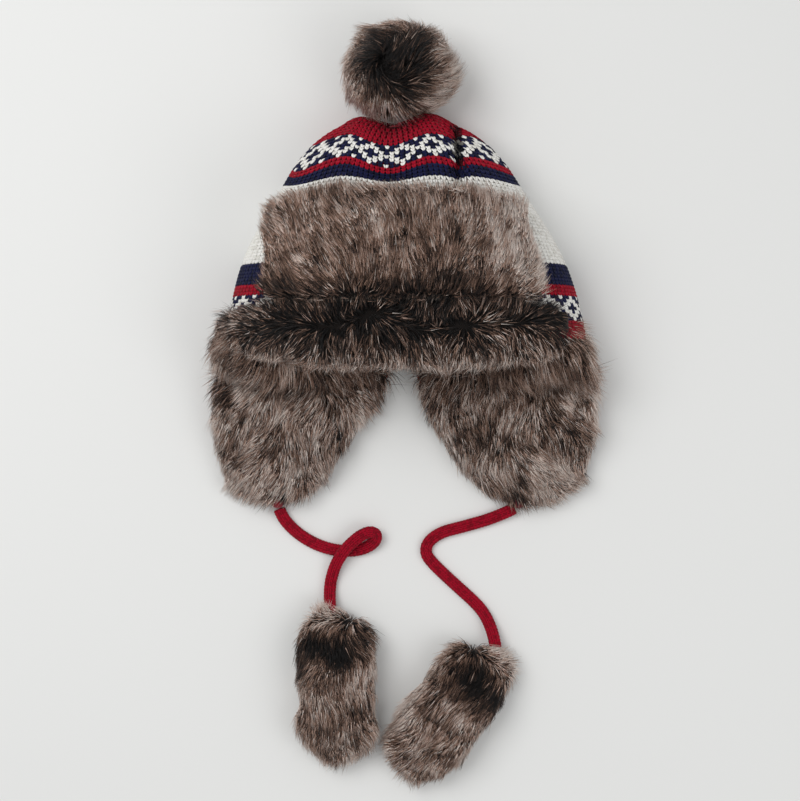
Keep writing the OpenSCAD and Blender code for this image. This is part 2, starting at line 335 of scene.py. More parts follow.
# %% Tie routes
LEFT_ROUTE = [
    (77, -173.8, 5), (72, -176.4, 4), (66, -179, 3), (57, -182.4, 2.5), (47, -185.3, 2.4),
    (37, -188, 2.4), (28, -190.4, 2.4), (20.5, -194.2, 2.4), (15.4, -199.6, 2.4), (14.8, -206.4, 2.4),
    (19.6, -213, 2.4), (26, -219.4, 2.4), (33.5, -226.4, 2.4), (41, -233.2, 2.4), (48.4, -240, 2.6),
    (54.6, -247, 3.2), (59, -255, 4.6), (61.8, -263, 7), (63.2, -270, 9.6), (63.8, -276, 11.6),
    (64, -279.6, 12),
]
RIGHT_ROUTE = [
    (-89, -174.4, 5), (-86.6, -180, 4), (-83, -185, 3), (-78, -190, 2.5), (-72, -194.5, 2.4),
    (-64, -199, 2.4), (-55, -202.3, 2.4), (-46, -204, 2.4), (-37, -204, 2.4), (-30, -202.6, 2.8),
    (-24, -199.6, 4), (-20.4, -195.4, 6), (-20.6, -191.6, 8), (-24.5, -190.2, 9.4), (-30, -192, 9.6),
    (-36, -196.4, 9), (-41.6, -202, 8.6), (-46.4, -208.6, 7.4), (-50, -216, 5.2), (-52.6, -225, 3.2),
    (-53.4, -233, 4), (-53.2, -240, 7.6), (-52.8, -245, 11), (-52.5, -248.6, 12),
]
TIE_W = 8.0
TIE_T = 4.4


def smooth_route(points, step):
    """A Catmull-Rom curve through points, then cut into equal steps of about step mm."""
    p = np.array(points, dtype=float)
    p = np.vstack([2 * p[0] - p[1], p, 2 * p[-1] - p[-2]])
    t = np.linspace(0, 1, 12, endpoint=False)[:, None]
    a, b, c, d = (p[k:len(p) - 3 + k, None] for k in range(4))
    fine = 0.5 * (2 * b + (c - a) * t + (2 * a - 5 * b + 4 * c - d) * t**2 + (3 * b - a - 3 * c + d) * t**3)
    fine = np.vstack([fine.reshape(-1, 3), p[-2]])
    along = np.concatenate([[0], np.cumsum(np.linalg.norm(np.diff(fine, axis=0), axis=1))])
    cuts = np.linspace(0, along[-1], int(along[-1] / step) + 1)
    return np.stack([np.interp(cuts, along, fine[:, k]) for k in range(3)], -1), along[-1]


def strap_frame(path):
    """Along, across and up for each point: across stays level, as a flat strap on a table lies."""
    forward = unit(np.gradient(path, axis=0))
    across = unit(np.stack([forward[:, 1], -forward[:, 0], np.zeros(len(path))], -1))
    return across, unit(np.cross(across, forward))


def strap_point(path, turn):
    """The strap's skin at each path point (rows) and section angle (columns): a flat ellipse."""
    across, up = strap_frame(path)
    wide = (TIE_W / 2 - 0.35) * spow(np.cos(turn), 0.8)
    high = (TIE_T / 2 - 0.25) * spow(np.sin(turn), 0.8)
    return path[:, None] + across[:, None] * wide[..., None] + up[:, None] * high[..., None]


# %% [markdown]
# ## Knitting
#
# Stocking stitch is a field of small V's, one for each stitch, in rows. A printed pattern of V's looks
# flat at the edge of a hat, so each leg of each V is its own little spindle of yarn, with eight points.
# Below, a surface is any function that turns row and column numbers into points.

# %% Stitch builder
SPINDLE = np.array([
    (0, 2, 1), (0, 3, 2), (0, 1, 3),
    (1, 2, 5), (1, 5, 4), (2, 3, 6), (2, 6, 5), (3, 1, 4), (3, 4, 6),
    (4, 5, 7), (5, 6, 7), (6, 4, 7),
])


def spindles(start, end, normal, thick):
    """Closed three-sided spindles from start to end, bulged along the surface normal.

    Each has a tip at both ends and rings at three tenths and three quarters of its length.
    """
    axis = unit(end - start)
    side = unit(np.cross(axis, normal))
    up = np.cross(side, axis)
    turn = 2 * np.pi * np.arange(3) / 3
    spoke = side[:, None] * np.sin(turn)[:, None] + up[:, None] * np.cos(turn)[:, None]
    rings = [
        (start + (end - start) * share + normal * thick * 0.45)[:, None] - spoke[:, ::-1] * thick
        for share in (0.3, 0.75)
    ]
    return np.concatenate([start[:, None], rings[0], rings[1], end[:, None]], axis=1)


TIE_ROW_H = 2.3
DEEP_SHARE = 0.3
TABLE_GAP = 0.15


def knit_piece(name, rows, surface, colour_of, thick, seed, hollow=None):
    """V stitches over a surface. rows lists (row, stitches in it); surface gives points and normals.

    Where hollow(points) nears 1, stitches take their darkest yarn, which stands for the shade at the
    bottom of a fold.
    """
    rng = np.random.default_rng(seed)
    legs = []
    tones = []
    for row, count in rows:
        column = np.arange(count)
        for side in (-1, 1):
            jitter = rng.normal(0, 0.03, count)
            low, normal = surface(row - 0.55 + jitter, (column + 0.5 + 0.06 * side) / count)
            high, _ = surface(row + 1.15 + jitter, (column + 0.5 + 0.36 * side) / count)
            legs.append(spindles(low + normal * 0.45 * thick, high - normal * 0.6 * thick, normal, thick))
            shade = (rng.random(count) < DEEP_SHARE).astype(int)
            if hollow is not None:
                # Painted shade: stitches where hollow nears 1 take the yarn's darkest tone.
                shade = np.where(hollow(low) > rng.uniform(0.3, 0.7, count), 2, shade)
            tones.append(colour_of(row, column) + shade)
    points = np.concatenate(legs)
    points[..., 2] = np.maximum(points[..., 2], TABLE_GAP)
    faces = (SPINDLE[None] + 8 * np.arange(len(points))[:, None, None]).reshape(-1, 3)
    tone = np.repeat(np.concatenate(tones), len(SPINDLE))
    corner = points.reshape(-1, 3)[faces[:2000]]
    middle = np.repeat(points.mean(axis=1), len(SPINDLE), axis=0)[:2000]
    outward = np.cross(corner[:, 1] - corner[:, 0], corner[:, 2] - corner[:, 0])
    if ((corner.mean(axis=1) - middle) * outward).sum() < 0:
        faces = faces[:, ::-1]
    return make_piece(name, points, [faces], YARNS, tone)


def plain_red(row, column):
    """The same yarn for every stitch."""
    return np.full(len(column), FIRST_TONE["red"])


# %% Make the ties
def tie(side, route):
    """The strap's core, its stitches, and its route and length in metres."""
    path, length = smooth_route(route, 1.2)
    turn = np.linspace(0, 2 * np.pi, 20, endpoint=False)[None, :]
    strap, _ = loft(f"{side}_tie_strap", strap_point(path, turn), YARN["red"][1])
    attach(strap, f"{side}_tie")
    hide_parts(f"{side}_tie")
    rows = int(length / TIE_ROW_H)
    last = len(path) - 1
    across, up = strap_frame(path)

    def skin(row, share):
        place = np.clip(row * TIE_ROW_H / length * last, 0, last)
        angle = 2 * np.pi * share
        spine, wide, high = (
            np.stack([np.interp(place, np.arange(last + 1), way[:, k]) for k in range(3)], -1)
            for way in (path, across, up)
        )
        cos, sin = np.cos(angle)[:, None], np.sin(angle)[:, None]
        out = wide * (TIE_W / 2 - 0.4) * spow(cos, 0.8)
        over = high * (TIE_T / 2 - 0.4) * spow(sin, 0.8)
        return spine + out + over, unit(wide * cos * 0.5 + high * sin)

    stitches = knit_piece(
        f"{side}_tie_stitches", [(row, 10) for row in range(rows)], skin, plain_red, 0.62, 11
    )
    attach(stitches, f"{side}_tie")
    print(f"{side} tie: {length:.0f} mm along its curve")
    return strap, stitches, [tuple(p) for p in (path * MM).tolist()], float(length) * MM


left_strap, left_strap_stitches, left_path, left_length = tie("left", LEFT_ROUTE)
right_strap, right_strap_stitches, right_path, right_length = tie("right", RIGHT_ROUTE)

# %% [markdown]
# ## The crown
#
# The crown is a round-ended cup of knit. One formula gives it: its half width and height fall from the rim
# to the closed end, and each section is a rounded square that is flatter underneath, where it lies. The
# empty crown slumps: its pattern rows wave, one deep crease runs up beside the middle, and the end is
# gathered under the pompom.

# %% Crown formula
CROWN_HALF_W = 123.0
CROWN_H = 84.0
RIM_Y = -55.0
CROWN_END_Y = 96.5
CREASE_X = 37.0
PUFF_W = 63.0
FLAT_PUFF_W = 90.0
ROW_WAVE = 4.5


def along(y):
    """How far along the crown's full curve y lies, from 0 to 1."""
    return np.clip((y + 60) / 160, 0, 0.9995)


def crown_top(y):
    """Height of the crown's top over the table: a fourth-power oval along Y."""
    return CROWN_H * np.sqrt(1 - along(y) ** 4)


def crown_point(y, turn, inset):
    """One point of the crown's section at y, turned by an angle and set in by inset, in mm."""
    end = along(y)
    half_w = CROWN_HALF_W * (1 - end**1.5) ** 0.42 * (1 - 0.06 * np.exp(-(((y - 45) / 32) ** 2)))
    bottom = 6 * end**6
    middle = bottom + 0.36 * (crown_top(y) - bottom)
    cos, sin = np.cos(turn), np.sin(turn)
    power = np.where(sin >= 0, 2 / 2.3, 2 / 3.4)
    gather = 1 + 0.02 * np.cos(17 * turn) * ramp01(y, 72, 94)
    x = 2 - 6 * end**0.6 + (half_w - inset) * gather * spow(cos, power)
    high = middle + (crown_top(y) - middle - inset) * gather * spow(sin, power)
    low = np.maximum(bottom + inset, middle + (middle - bottom - inset + 2.5) * spow(sin, power))
    return np.stack(np.broadcast_arrays(x, y, np.where(sin >= 0, high, low)), -1)


def slumped(y, turn, inset):
    """The crown's surface after it has slumped.

    Rows wave along X, one crease sinks and puffs rise beside it. Two shoulders reach past the gather, and
    the thread pulls the cloth down between them.
    """
    start = crown_point(y, turn, inset)
    x = start[..., 0]
    top = ramp01(np.sin(turn), 0.0, 0.5)
    waving = ramp01(y, 35, 66) * (1 - ramp01(y, 80, 95)) * top
    puff = np.cos(2 * np.pi * np.where(x < CREASE_X, (x - 20) / PUFF_W, (x - 44) / FLAT_PUFF_W))
    point = crown_point(y + ROW_WAVE * puff * waving, turn, inset)
    soft = ramp01(y, 30, 60) * (1 - 0.6 * ramp01(y, 84, 96)) * top
    crease = 2.6 * np.exp(-(((x - CREASE_X) / 4.0) ** 2)) + 0.5 * np.exp(-(((x + 8) / 7.0) ** 2))
    shoulder = np.exp(-(((x - 16) / 15) ** 2)) + 0.7 * np.exp(-(((x + 32) / 15) ** 2))
    pull = np.exp(-(((point[..., 0] + 8) / 12) ** 2) - ((point[..., 1] - 97) / 11) ** 2)
    point[..., 1] += 6.0 * shoulder * ramp01(y, 78, 96) * top
    point[..., 2] += soft * (1.6 * puff - 5.0 * crease) - 16.0 * pull * top
    return point


# %% [markdown]
# ### Rows and pattern
#
# From the rim the bands run red, a snowflake band, red, navy, cream, navy, red, a second snowflake band,
# then red to the gathered end. A snowflake repeats every six stitches. The stitches lie over a smooth
# shell in the same colours, a little darker as painted shade between the stitches, so that no light shows
# between them.

# %% Band colours
ROW_H = 2.4
STITCH_W = 3.6
NARROWING = 12
BANDS = [
    (-43, "red"), (-26.5, "flake"), (-18.5, "red"), (-5, "navy"), (50.5, "cream"), (58.7, "navy"),
    (63, "red"), (79.5, "flake"), (120, "red"),
]
FLAKE = [{0, 3}, {5, 0, 1}, {4, 5, 1, 2}, {2, 3, 4}, {4, 5, 1, 2}, {5, 0, 1}, {0, 3}]


def band_of(y):
    """The name of the band at y, and the y where it starts."""
    start = RIM_Y
    for end, name in BANDS:
        if y < end:
            return name, start
        start = end
    return BANDS[-1][1], start


def crown_colour(row, column):
    """Yarn tone for each stitch of a row."""
    name, start = band_of(RIM_Y + (row + 0.5) * ROW_H)
    if name != "flake":
        return np.full(len(column), FIRST_TONE[name])
    first_row = int(np.ceil((start - RIM_Y) / ROW_H - 0.5))
    white = FLAKE[min(row - first_row, len(FLAKE) - 1)]
    light = np.isin(column % 6, sorted(white))
    return np.where(light, FIRST_TONE["cream"], FIRST_TONE["navy"])


SECTION_TURNS = np.linspace(0, 2 * np.pi, 361)


def section_lengths(y):
    """Length along the section at y up to each of 361 turns."""
    ring = crown_point(np.float64(y), SECTION_TURNS, 0.0)
    return np.concatenate([[0], np.cumsum(np.linalg.norm(np.diff(ring, axis=0), axis=1))])


def crown_rows():
    """Rows with their stitch counts, which narrow by twelves and stay the same inside a snowflake band."""
    rows = []
    for row in range(int((CROWN_END_Y - RIM_Y) / ROW_H)):
        name, start = band_of(RIM_Y + (row + 0.5) * ROW_H)
        measured_at = start + 4 if name == "flake" else RIM_Y + row * ROW_H
        around = section_lengths(measured_at)[-1]
        rows.append((row, max(NARROWING, NARROWING * round(around / STITCH_W / NARROWING))))
    return rows


def crown_surface(row, share):
    """Point and outward normal at a row, where share runs once round the section by length."""
    y = RIM_Y + row * ROW_H
    lengths = section_lengths(float(np.mean(y)))
    turn = np.interp(share * lengths[-1], lengths, SECTION_TURNS)
    point = slumped(y, turn, 0.0)
    ahead = slumped(y + 0.8, turn, 0.0)
    beside = slumped(y, turn + 0.01, 0.0)
    return point, unit(np.cross(ahead - point, beside - point))


def crown_hollow(point):
    """Painted shade: near 1 at the bottom of the crease and in the dent where the pompom's thread pulls."""
    x, y, z = point[:, 0], point[:, 1], point[:, 2]
    crease = np.exp(-(((x - CREASE_X) / 3.6) ** 2)) * ramp01(y, 52, 60) * ramp01(z, 20, 30)
    dent = np.exp(-(((x + 8) / 11) ** 2) - ((y - 95) / 8) ** 2) * ramp01(z, 20, 30)
    return crease + dent


rows = crown_rows()
print("crown rows:", len(rows), "stitches at the rim:", rows[0][1])
half_way = len(rows) // 2
for name, part in (("crown_stitches_rim", rows[:half_way]), ("crown_stitches_end", rows[half_way:])):
    piece = knit_piece(name, part, crown_surface, crown_colour, 1.0, 21, crown_hollow)
    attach(piece, "hat")

# %% Smooth shell under the stitches, and the fleece lining
def banded_knit():
    """Wool shell under the stitches: its colour follows the bands along Y, darker than the yarn as painted
    shade between the stitches.
    """
    finish = Finish("wool under the stitches", "#8f0b20", 0.9, sheen=0.03, specular=0.1)
    y = finish.node("ShaderNodeSeparateXYZ", {}, out="Y", Vector=finish.place)
    colour = linear("#860a1e")
    # The red and cream here are darker than their yarn: painted shade in the gaps between stitches.
    paint = {"red": "#860a1e", "flake": "#1a1e3e", "navy": "#171b3c", "cream": "#cfcac0"}
    start = RIM_Y
    for end, name in BANDS:
        colour = finish.mix(y.above(start * MM), colour, linear(paint[name]))
        start = end
    finish.set(Base_Color=colour, Roughness=finish.noise(900) * 0.2 + 0.75)
    finish.relief(finish.noise(2400), 0.5, 0.0005)
    return finish.material


CUP_RINGS = 46


def cup_rings(inset, thick, mouth, end):
    """Rings of a cup: the outer skin from its end to the mouth, then the inner skin back."""
    turn = np.linspace(0, 2 * np.pi, 96, endpoint=False)[None, :]
    share = np.linspace(0, 1, CUP_RINGS)[:, None] ** 1.4
    outer = slumped(end + (mouth - end) * share, turn, inset)
    inner = slumped(end - thick + (mouth - end + thick) * share[::-1], turn, inset + thick)
    return np.concatenate([outer, inner])


shell, _ = loft("knit_inner_shell", cup_rings(1.1, 2.2, RIM_Y, 95.5), banded_knit())
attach(shell, "hat")
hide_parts("knit_shell")

fleece = Finish("fleece", "#e9e4d8", 0.95, sheen=0.6, specular=0.1)
curl = fleece.node(
    "ShaderNodeTexVoronoi", {"feature": "SMOOTH_F1"}, out="Distance", Vector=fleece.place, Scale=420.0
)
fleece.set(Base_Color=fleece.mix(curl, linear("#f1ede3"), linear("#cfc8ba")))
fleece.set(Roughness=fleece.noise(300) * 0.15 + 0.82)
fleece.relief(curl + fleece.noise(900) * 0.5, 0.9, 0.0012)
lining_rings = cup_rings(3.8, 3.2, RIM_Y + 3, 86.8)
lining_rings[CUP_RINGS:] += sway(lining_rings[CUP_RINGS:], 5.0, 5) * 0.35
lining, _ = loft("fleece_lining", lining_rings, fleece.material)
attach(lining, "hat")
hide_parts("crown_lining")

# %% [markdown]
# ## Fur
#
# Long pile is a skin with tens of thousands of hairs. Particle hair would not survive as a mesh, so each
# hair is a closed spike with three sides and two segments, ten triangles in all: dark near its root and
# paler at its tip. Roots are scattered by area over a skin. A comb field lays the hair down, smooth noise
# makes it sway, tips in the same small cell are drawn together into locks, and long streaks of tone run
# through the coat, as in real pile.

# %% Fur builder
SPIKE = np.array([
    (0, 2, 1),
    (0, 1, 4), (0, 4, 3), (1, 2, 5), (1, 5, 4), (2, 0, 3), (2, 3, 5),
    (3, 4, 6), (4, 5, 6), (5, 3, 6),
])
ROOT_FACES = 7
GUARD_TONE = 0.35


def scatter(skin, count, rng):
    """Random points on a skin, evenly by area, with their outward normals."""
    points, faces = skin
    triangles = np.concatenate([
        np.concatenate([f[:, [0, 1, 2]], f[:, [0, 2, 3]]]) if f.shape[1] == 4 else f for f in faces
    ])
    a, b, c = (points[triangles[:, k]] for k in range(3))
    normal = np.cross(b - a, c - a)
    area = np.linalg.norm(normal, axis=1)
    smooth = np.zeros_like(points)
    for k in range(3):
        for axis in range(3):
            smooth[:, axis] += np.bincount(triangles[:, k], normal[:, axis], len(points))
    pick = rng.choice(len(area), count, p=area / area.sum())
    s, t = rng.random((2, count, 1))
    s, t = np.where(s + t > 1, 1 - s, s), np.where(s + t > 1, 1 - t, t)
    root = a[pick] * (1 - s - t) + b[pick] * s + c[pick] * t
    chosen = triangles[pick]
    bent = smooth[chosen[:, 0]] * (1 - s - t) + smooth[chosen[:, 1]] * s + smooth[chosen[:, 2]] * t
    return root, unit(bent)


def drawn_to_locks(points, cell, pull, rng):
    """Points in the same cell of a warped grid move towards their middle. Also gives each cell's number."""
    warped = points + sway(points, 3.1 * cell, 77) * cell * 0.8
    key = np.floor(warped / cell).astype(np.int64)
    _, lock = np.unique(key @ np.array([1, 4099, 4099**2]), return_inverse=True)
    size = np.bincount(lock)
    heart = np.stack([np.bincount(lock, points[:, k]) / size for k in range(3)], -1)
    share = rng.uniform(0.5, 1.0, (len(points), 1)) * pull
    return points + (heart[lock] - points) * share, lock


def fur(name, skin, count, comb, tone, seed, length=15.0, lift=0.45, cell=5.0, pull=0.42, width=0.46,
        spread=0.13, locks=0.12, guard=0.05, streaks=0.08, keep=None):
    """Spikes of pile on a skin.

    A hair starts between the normal and the comb, by lift, and ends along the comb. Its root is dark, and
    its tip's tone is the tone field plus what its lock and the hair itself add, with a painted rim light
    where the skin faces sideways. The share guard of the hairs is much paler, as guard hairs are.
    """
    rng = np.random.default_rng(seed)
    root, normal = scatter(skin, count, rng)
    if keep is not None:
        kept = keep(root, normal)
        root, normal = root[kept], normal[kept]
    count = len(root)
    flow = comb(root, normal)
    flow = unit(flow - normal * dot(flow, normal))
    wander = sway(root, 26.0, seed + 50) * 0.26 + sway(root, 9.0, seed + 60) * 0.13
    start = unit(normal * lift + flow * (1 - lift) + wander * 0.6 + rng.normal(0, 0.08, (count, 3)))
    finish = unit(normal * lift * 0.35 + flow + wander + rng.normal(0, 0.09, (count, 3)))
    size = (length * rng.uniform(0.62, 1.12, count) * (1 + 0.15 * ripple(root, 18.0, seed + 70)))[:, None]
    middle = root + start * size * rng.uniform(0.38, 0.55, (count, 1))
    tip = middle + finish * size * 0.55
    tip, lock = drawn_to_locks(tip, cell, pull, rng)
    middle[:, 2] = np.maximum(middle[:, 2], 0.9)
    tip[:, 2] = np.maximum(tip[:, 2], 0.5)
    axis = unit(tip - root)
    side = unit(np.cross(axis, normal + 0.01))
    up = np.cross(axis, side)
    turn = 2 * np.pi * np.arange(3) / 3
    spoke = side[:, None] * np.cos(turn)[:, None] + up[:, None] * np.sin(turn)[:, None]
    wide = (width * rng.uniform(0.3, 0.62, count))[:, None, None]
    root_ring = (root - normal * 0.6)[:, None] + spoke * wide
    middle_ring = middle[:, None] + spoke * wide * 0.85
    points = np.concatenate([root_ring, middle_ring, tip[:, None]], axis=1)
    points[..., 2] = np.maximum(points[..., 2], 0.3)
    faces = (SPIKE[None] + 7 * np.arange(count)[:, None, None]).reshape(-1, 3)
    # Random tone for each lock, plus a painted rim light: hairs on skin that faces sideways are paler.
    lock_tone_and_painted_rim_light = rng.normal(0, locks, lock.max() + 1)[lock] + 0.16 * (1 - np.abs(normal[:, 2]))
    drawn = root * (1, 0.2, 1)
    streak = streaks * (ripple(drawn, 13.0, seed + 90) + 0.7 * ripple(drawn, 6.0, seed + 91))
    light = tone(root) + lock_tone_and_painted_rim_light + streak + rng.normal(0, spread, count)
    light = light + GUARD_TONE * (rng.random(count) < guard)
    tip_tone = np.clip(light * len(FUR), 0, len(FUR) - 1).astype(int)
    root_tone = np.clip(light * len(FUR) - rng.uniform(2.5, 5.5, count), 0, len(FUR) - 1).astype(int)
    tones = np.repeat(np.stack([root_tone, tip_tone], -1), [ROOT_FACES, len(SPIKE) - ROOT_FACES], axis=1)
    return make_piece(name, points, [faces], FUR, tones.ravel())


# %% Hide under the fur
hide = Finish("dark hide", "#16100d", 0.9, sheen=0.2, specular=0.1)
hide.set(Base_Color=hide.mix(hide.noise(160), linear("#080605"), linear("#1a1411")))
hide.set(Roughness=hide.noise(400) * 0.15 + 0.8)
hide.relief(hide.noise(700), 0.8, 0.0012)


def dress(body, skin_piece, pile, node):
    """The skin and its pile ride on one body and stand for its fur node."""
    for piece in (skin_piece, *pile):
        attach(piece, body)
        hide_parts(node)


# %% [markdown]
# ## The pompom
#
# A ball of fur gathered on a thread. Its hair stands straight out, curls round the middle as a crown does
# on a head, and flattens where the ball rests on the table.

# %% Pompom
BALL = np.array([-4.0, 128.5, 35.0])
BALL_SKIN_R = 26.5


def ball_rings(radius):
    """Rings of an egg from its lowest point up, widest along X and slightly lumpy."""
    tilt = np.linspace(-0.497, 0.497, 33)[:, None] * np.pi
    turn = np.linspace(0, 2 * np.pi, 64, endpoint=False)[None, :]
    ring = np.stack(np.broadcast_arrays(
        np.cos(tilt) * np.cos(turn) * 1.1, np.cos(tilt) * np.sin(turn) * 0.95, np.sin(tilt) * 0.94
    ), -1)
    bump = 1 + 0.03 * ripple(ring * radius, 24.0, 9)
    return BALL + ring * radius * bump[..., None]


def swirl(root, normal):
    """Hair on the ball: outward on the table plane and round the middle in one turn."""
    arm = root - BALL
    round_about = np.stack([-arm[:, 1], arm[:, 0], np.zeros(len(arm))], -1)
    return (arm + (2, 3, 0)) * np.array([1, 1, 0.2]) + round_about * 0.5 + 9 * sway(root, 30.0, 33)


def ball_tone(root):
    """Dark in the middle and in partings, pale towards the rim."""
    arm = np.hypot(root[:, 0] - BALL[0] + 2, root[:, 1] - BALL[1] - 3) / BALL_SKIN_R
    return -0.04 + 0.76 * ramp01(arm, 0.4, 1.0) + 0.14 * ripple(root, 22.0, 31)


def clear_of_crown(root, normal):
    """The ball is bare where it sits on the crown."""
    return normal[:, 1] > -0.86


ball, ball_skin = loft("pompom_skin", ball_rings(BALL_SKIN_R), hide.material)
ball_pile = fur("pompom_pile", ball_skin, 18500, swirl, ball_tone, 1, length=18.5, lift=0.7, cell=6.0,
                spread=0.16, guard=0.12, streaks=0.03, keep=clear_of_crown)
dress("pompom", ball, [ball_pile], "pompom_fur")

# %% [markdown]
# ## The front flap
#
# The flap folds up over the crown at the brow. It is a thin padded sheet: a cloth backing with fur on the
# side that shows. Its outline runs nearly straight, and its free edge turns in at the corners.

# %% Flap formula
FOLD_Y = -29.0
FLAP_L = 76.0
FLAP_HALF_W = 101.0
BACKING_T = 2.0


def over_crown(y, x):
    """Height of the crown's top at y, falling towards the sides, for what lies on it."""
    return crown_top(y) * (1 - 0.24 * (np.abs(x) / 105) ** 2.6)


def flap_rings(low, high, steps, sides, shrink=0.0):
    """Rings across the flap from its fold to its free edge, between two heights over the crown."""
    v = (1 - (1 - np.linspace(0, 1, steps)) ** 1.6)[:, None] * 0.99
    turn = -np.linspace(0, 2 * np.pi, sides, endpoint=False)[None, :]
    half = (FLAP_HALF_W - shrink) * (1 - 0.05 * v) * np.sqrt(1 - v**30)
    x = half * spow(np.cos(turn), 0.8)
    x = x * np.where(x > 0, 1 - 0.10 * (0.4 + v), 1.0)
    y = FOLD_Y + 1 + (FLAP_L - shrink) * v + 0 * x
    skew = np.where(x > 0, -9, -2) * (v * x / FLAP_HALF_W) ** 2
    level = 0.5 + 0.5 * spow(np.sin(turn), 0.5)
    thin = 0.35 + 0.65 * np.sqrt(1 - (1 - np.clip(v / 0.25, 0, 1)) ** 2) - 0.5 * v**12
    top = low + (high - low) * thin
    z = over_crown(y, x) + 1.2 + 1.5 * v + low + (top - low) * level
    return np.stack([x, y + skew, z], -1)


suede = Finish("flap backing", "#8f8378", 0.9, sheen=0.4, specular=0.15)
suede.set(Base_Color=suede.mix(suede.noise(120), linear("#857a70"), linear("#9d9186")))
suede.set(Roughness=suede.noise(500) * 0.15 + 0.78)
suede.relief(suede.noise(1500), 0.6, 0.0004)
backing, _ = loft("flap_backing", flap_rings(0.0, BACKING_T, 34, 96, shrink=6.0), suede.material)
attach(backing, "front_flap")
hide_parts("front_flap_backing")


def flap_comb(root, normal):
    """Hair runs from the fold to the free edge and fans out to both sides."""
    x, y = root[:, 0], root[:, 1]
    fan = x / FLAP_HALF_W * 0.5 - 0.12 + 0.35 * ripple(root, 60.0, 41)
    return np.stack([fan, 0.9 + 0.1 * ripple(root, 40.0, 42), np.zeros(len(x))], -1)


def flap_tone(root):
    """Paler on the wearer's left and at the free edge, dark in partings, with painted shade along the fold.
    """
    x, v = root[:, 0], (root[:, 1] - FOLD_Y) / FLAP_L
    patch = 0.08 * ripple(root, 38.0, 43) + 0.05 * ripple(root, 15.0, 44)
    # The dip where v is near 0 is painted shade at the fold, under the brow band's hair.
    return 0.56 + 0.42 * ramp01(x, 35, 88) + 0.08 * v - 0.34 * np.exp(-((v / 0.11) ** 2)) + patch


flap_skin_piece, flap_skin = loft(
    "front_flap_skin", flap_rings(BACKING_T + 0.3, BACKING_T + 5.3, 34, 96, shrink=8.0), hide.material
)


def flap_side(sign):
    """Keep the roots on one half of the flap that face up or out."""
    return lambda root, normal: (root[:, 0] * sign >= 0) & (normal[:, 2] > -0.2)


flap_pile = [
    fur(f"front_flap_pile_{name}", flap_skin, 52000, flap_comb, flap_tone, seed, length=13.5, lift=0.38,
        cell=5.0, locks=0.10, keep=flap_side(sign))
    for name, sign, seed in (("left", 1, 2), ("right", -1, 3))
]
dress("front_flap", flap_skin_piece, flap_pile, "front_flap_fur")

# %% [markdown]
# At the fold, the cloth runs from under the brow band into the flap. A loose strip stands for it.

# %% Fold cloth
def fold_rings():
    """Rings of a thin strip over the crown, from 7 mm in front of the fold to 4 mm behind it."""
    y = FOLD_Y - 7 + 11 * np.linspace(0, 1, 14)[:, None]
    turn = -np.linspace(0, 2 * np.pi, 96, endpoint=False)[None, :]
    x = 88 * spow(np.cos(turn), 0.8)
    z = over_crown(y, x) + 1.2 + 0.5 * np.sin(turn)
    return np.stack(np.broadcast_arrays(x, y, z), -1)


fold_cloth, _ = loft("flap_fold_cloth", fold_rings(), suede.material)
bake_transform(fold_cloth)

# %% [markdown]
# ## Brow and nape bands
#
# The brow band is a roll of fur over the front of the rim. The nape band is its thinner twin under the
# head. Both are one profile carried round the rim, and hair parts along the brow's ridge.

# %% Rim rolls
RIM_FRONT = RIM_Y - 0.6
BROW = np.array([
    (-31, 0.8), (-33, 2.8), (-40, 4.2), (-52, 5.0), (-63, 4.5), (-69, 1.5), (-71, -3), (-68, -8),
    (-62, -10), (-57, -9), (RIM_FRONT, -6), (RIM_FRONT, 0.8),
])
NAPE = np.array([
    (RIM_FRONT, 0), (RIM_FRONT, -7), (-60, -9.5), (-66, -10), (-70, -8), (-72, -4.5), (-71.5, 0), (-64, 0),
])


def rounded(profile, times):
    """A closed profile with its corners cut again and again, until it is smooth."""
    for _ in range(times):
        after = np.roll(profile, -1, axis=0)
        profile = np.stack([0.75 * profile + 0.25 * after, 0.25 * profile + 0.75 * after], 1).reshape(-1, 2)
    return profile


def rim_roll(profile, start, end, stations, draw_in, thin_left=0.0):
    """The profile's (y, height) carried round the rim, its height along the crown's outward normal.

    Towards the sides both edges draw in to the rim, and at the wearer's left the roll thins by thin_left.
    """
    turn = np.radians(np.linspace(start, end, stations))
    base = crown_point(np.float64(RIM_Y), turn, 0.0)
    ahead = crown_point(np.float64(RIM_Y), turn + 0.01, 0.0)
    way = unit((ahead - base)[:, [0, 2]])
    reach = (1 - draw_in * (np.abs(base[:, 0]) / CROWN_HALF_W) ** 3)[:, None]
    height = profile[:, 1] * (1 - thin_left * ramp01(base[:, :1], 60, 104))
    upper = 1 - 0.5 * (np.abs(base[:, :1]) / CROWN_HALF_W) ** 4
    y = RIM_FRONT + (profile[:, 0] - RIM_FRONT) * np.where(profile[:, 0] < RIM_FRONT, reach, upper)
    x = base[:, :1] + height * way[:, 1:]
    z = base[:, 2:] - height * way[:, :1]
    return np.stack([x, y, z], -1)


def brow_comb(root, normal):
    """Hair parts along the ridge: behind it up over the flap's fold, before it down over the brow."""
    x, y = root[:, 0], root[:, 1]
    parting = -46 + 6 * ripple(root, 60.0, 51)
    fore = np.tanh((y - parting) / 9) * 0.95
    aside = x / 123 * np.where(x > 0, 0.3, 0.9) + 0.45 * ripple(root, 40.0, 52)
    return np.stack([aside, fore, np.full(len(x), -0.25)], -1)


def brow_tone(root):
    """Dark along the parting and paler towards the lower edge."""
    low = ramp01(-root[:, 1], 52, 70)
    aside = ramp01(np.abs(root[:, 0] - 5), 60, 120)
    return 0.10 + 0.42 * low + 0.24 * aside + 0.16 * ripple(root, 30.0, 53)


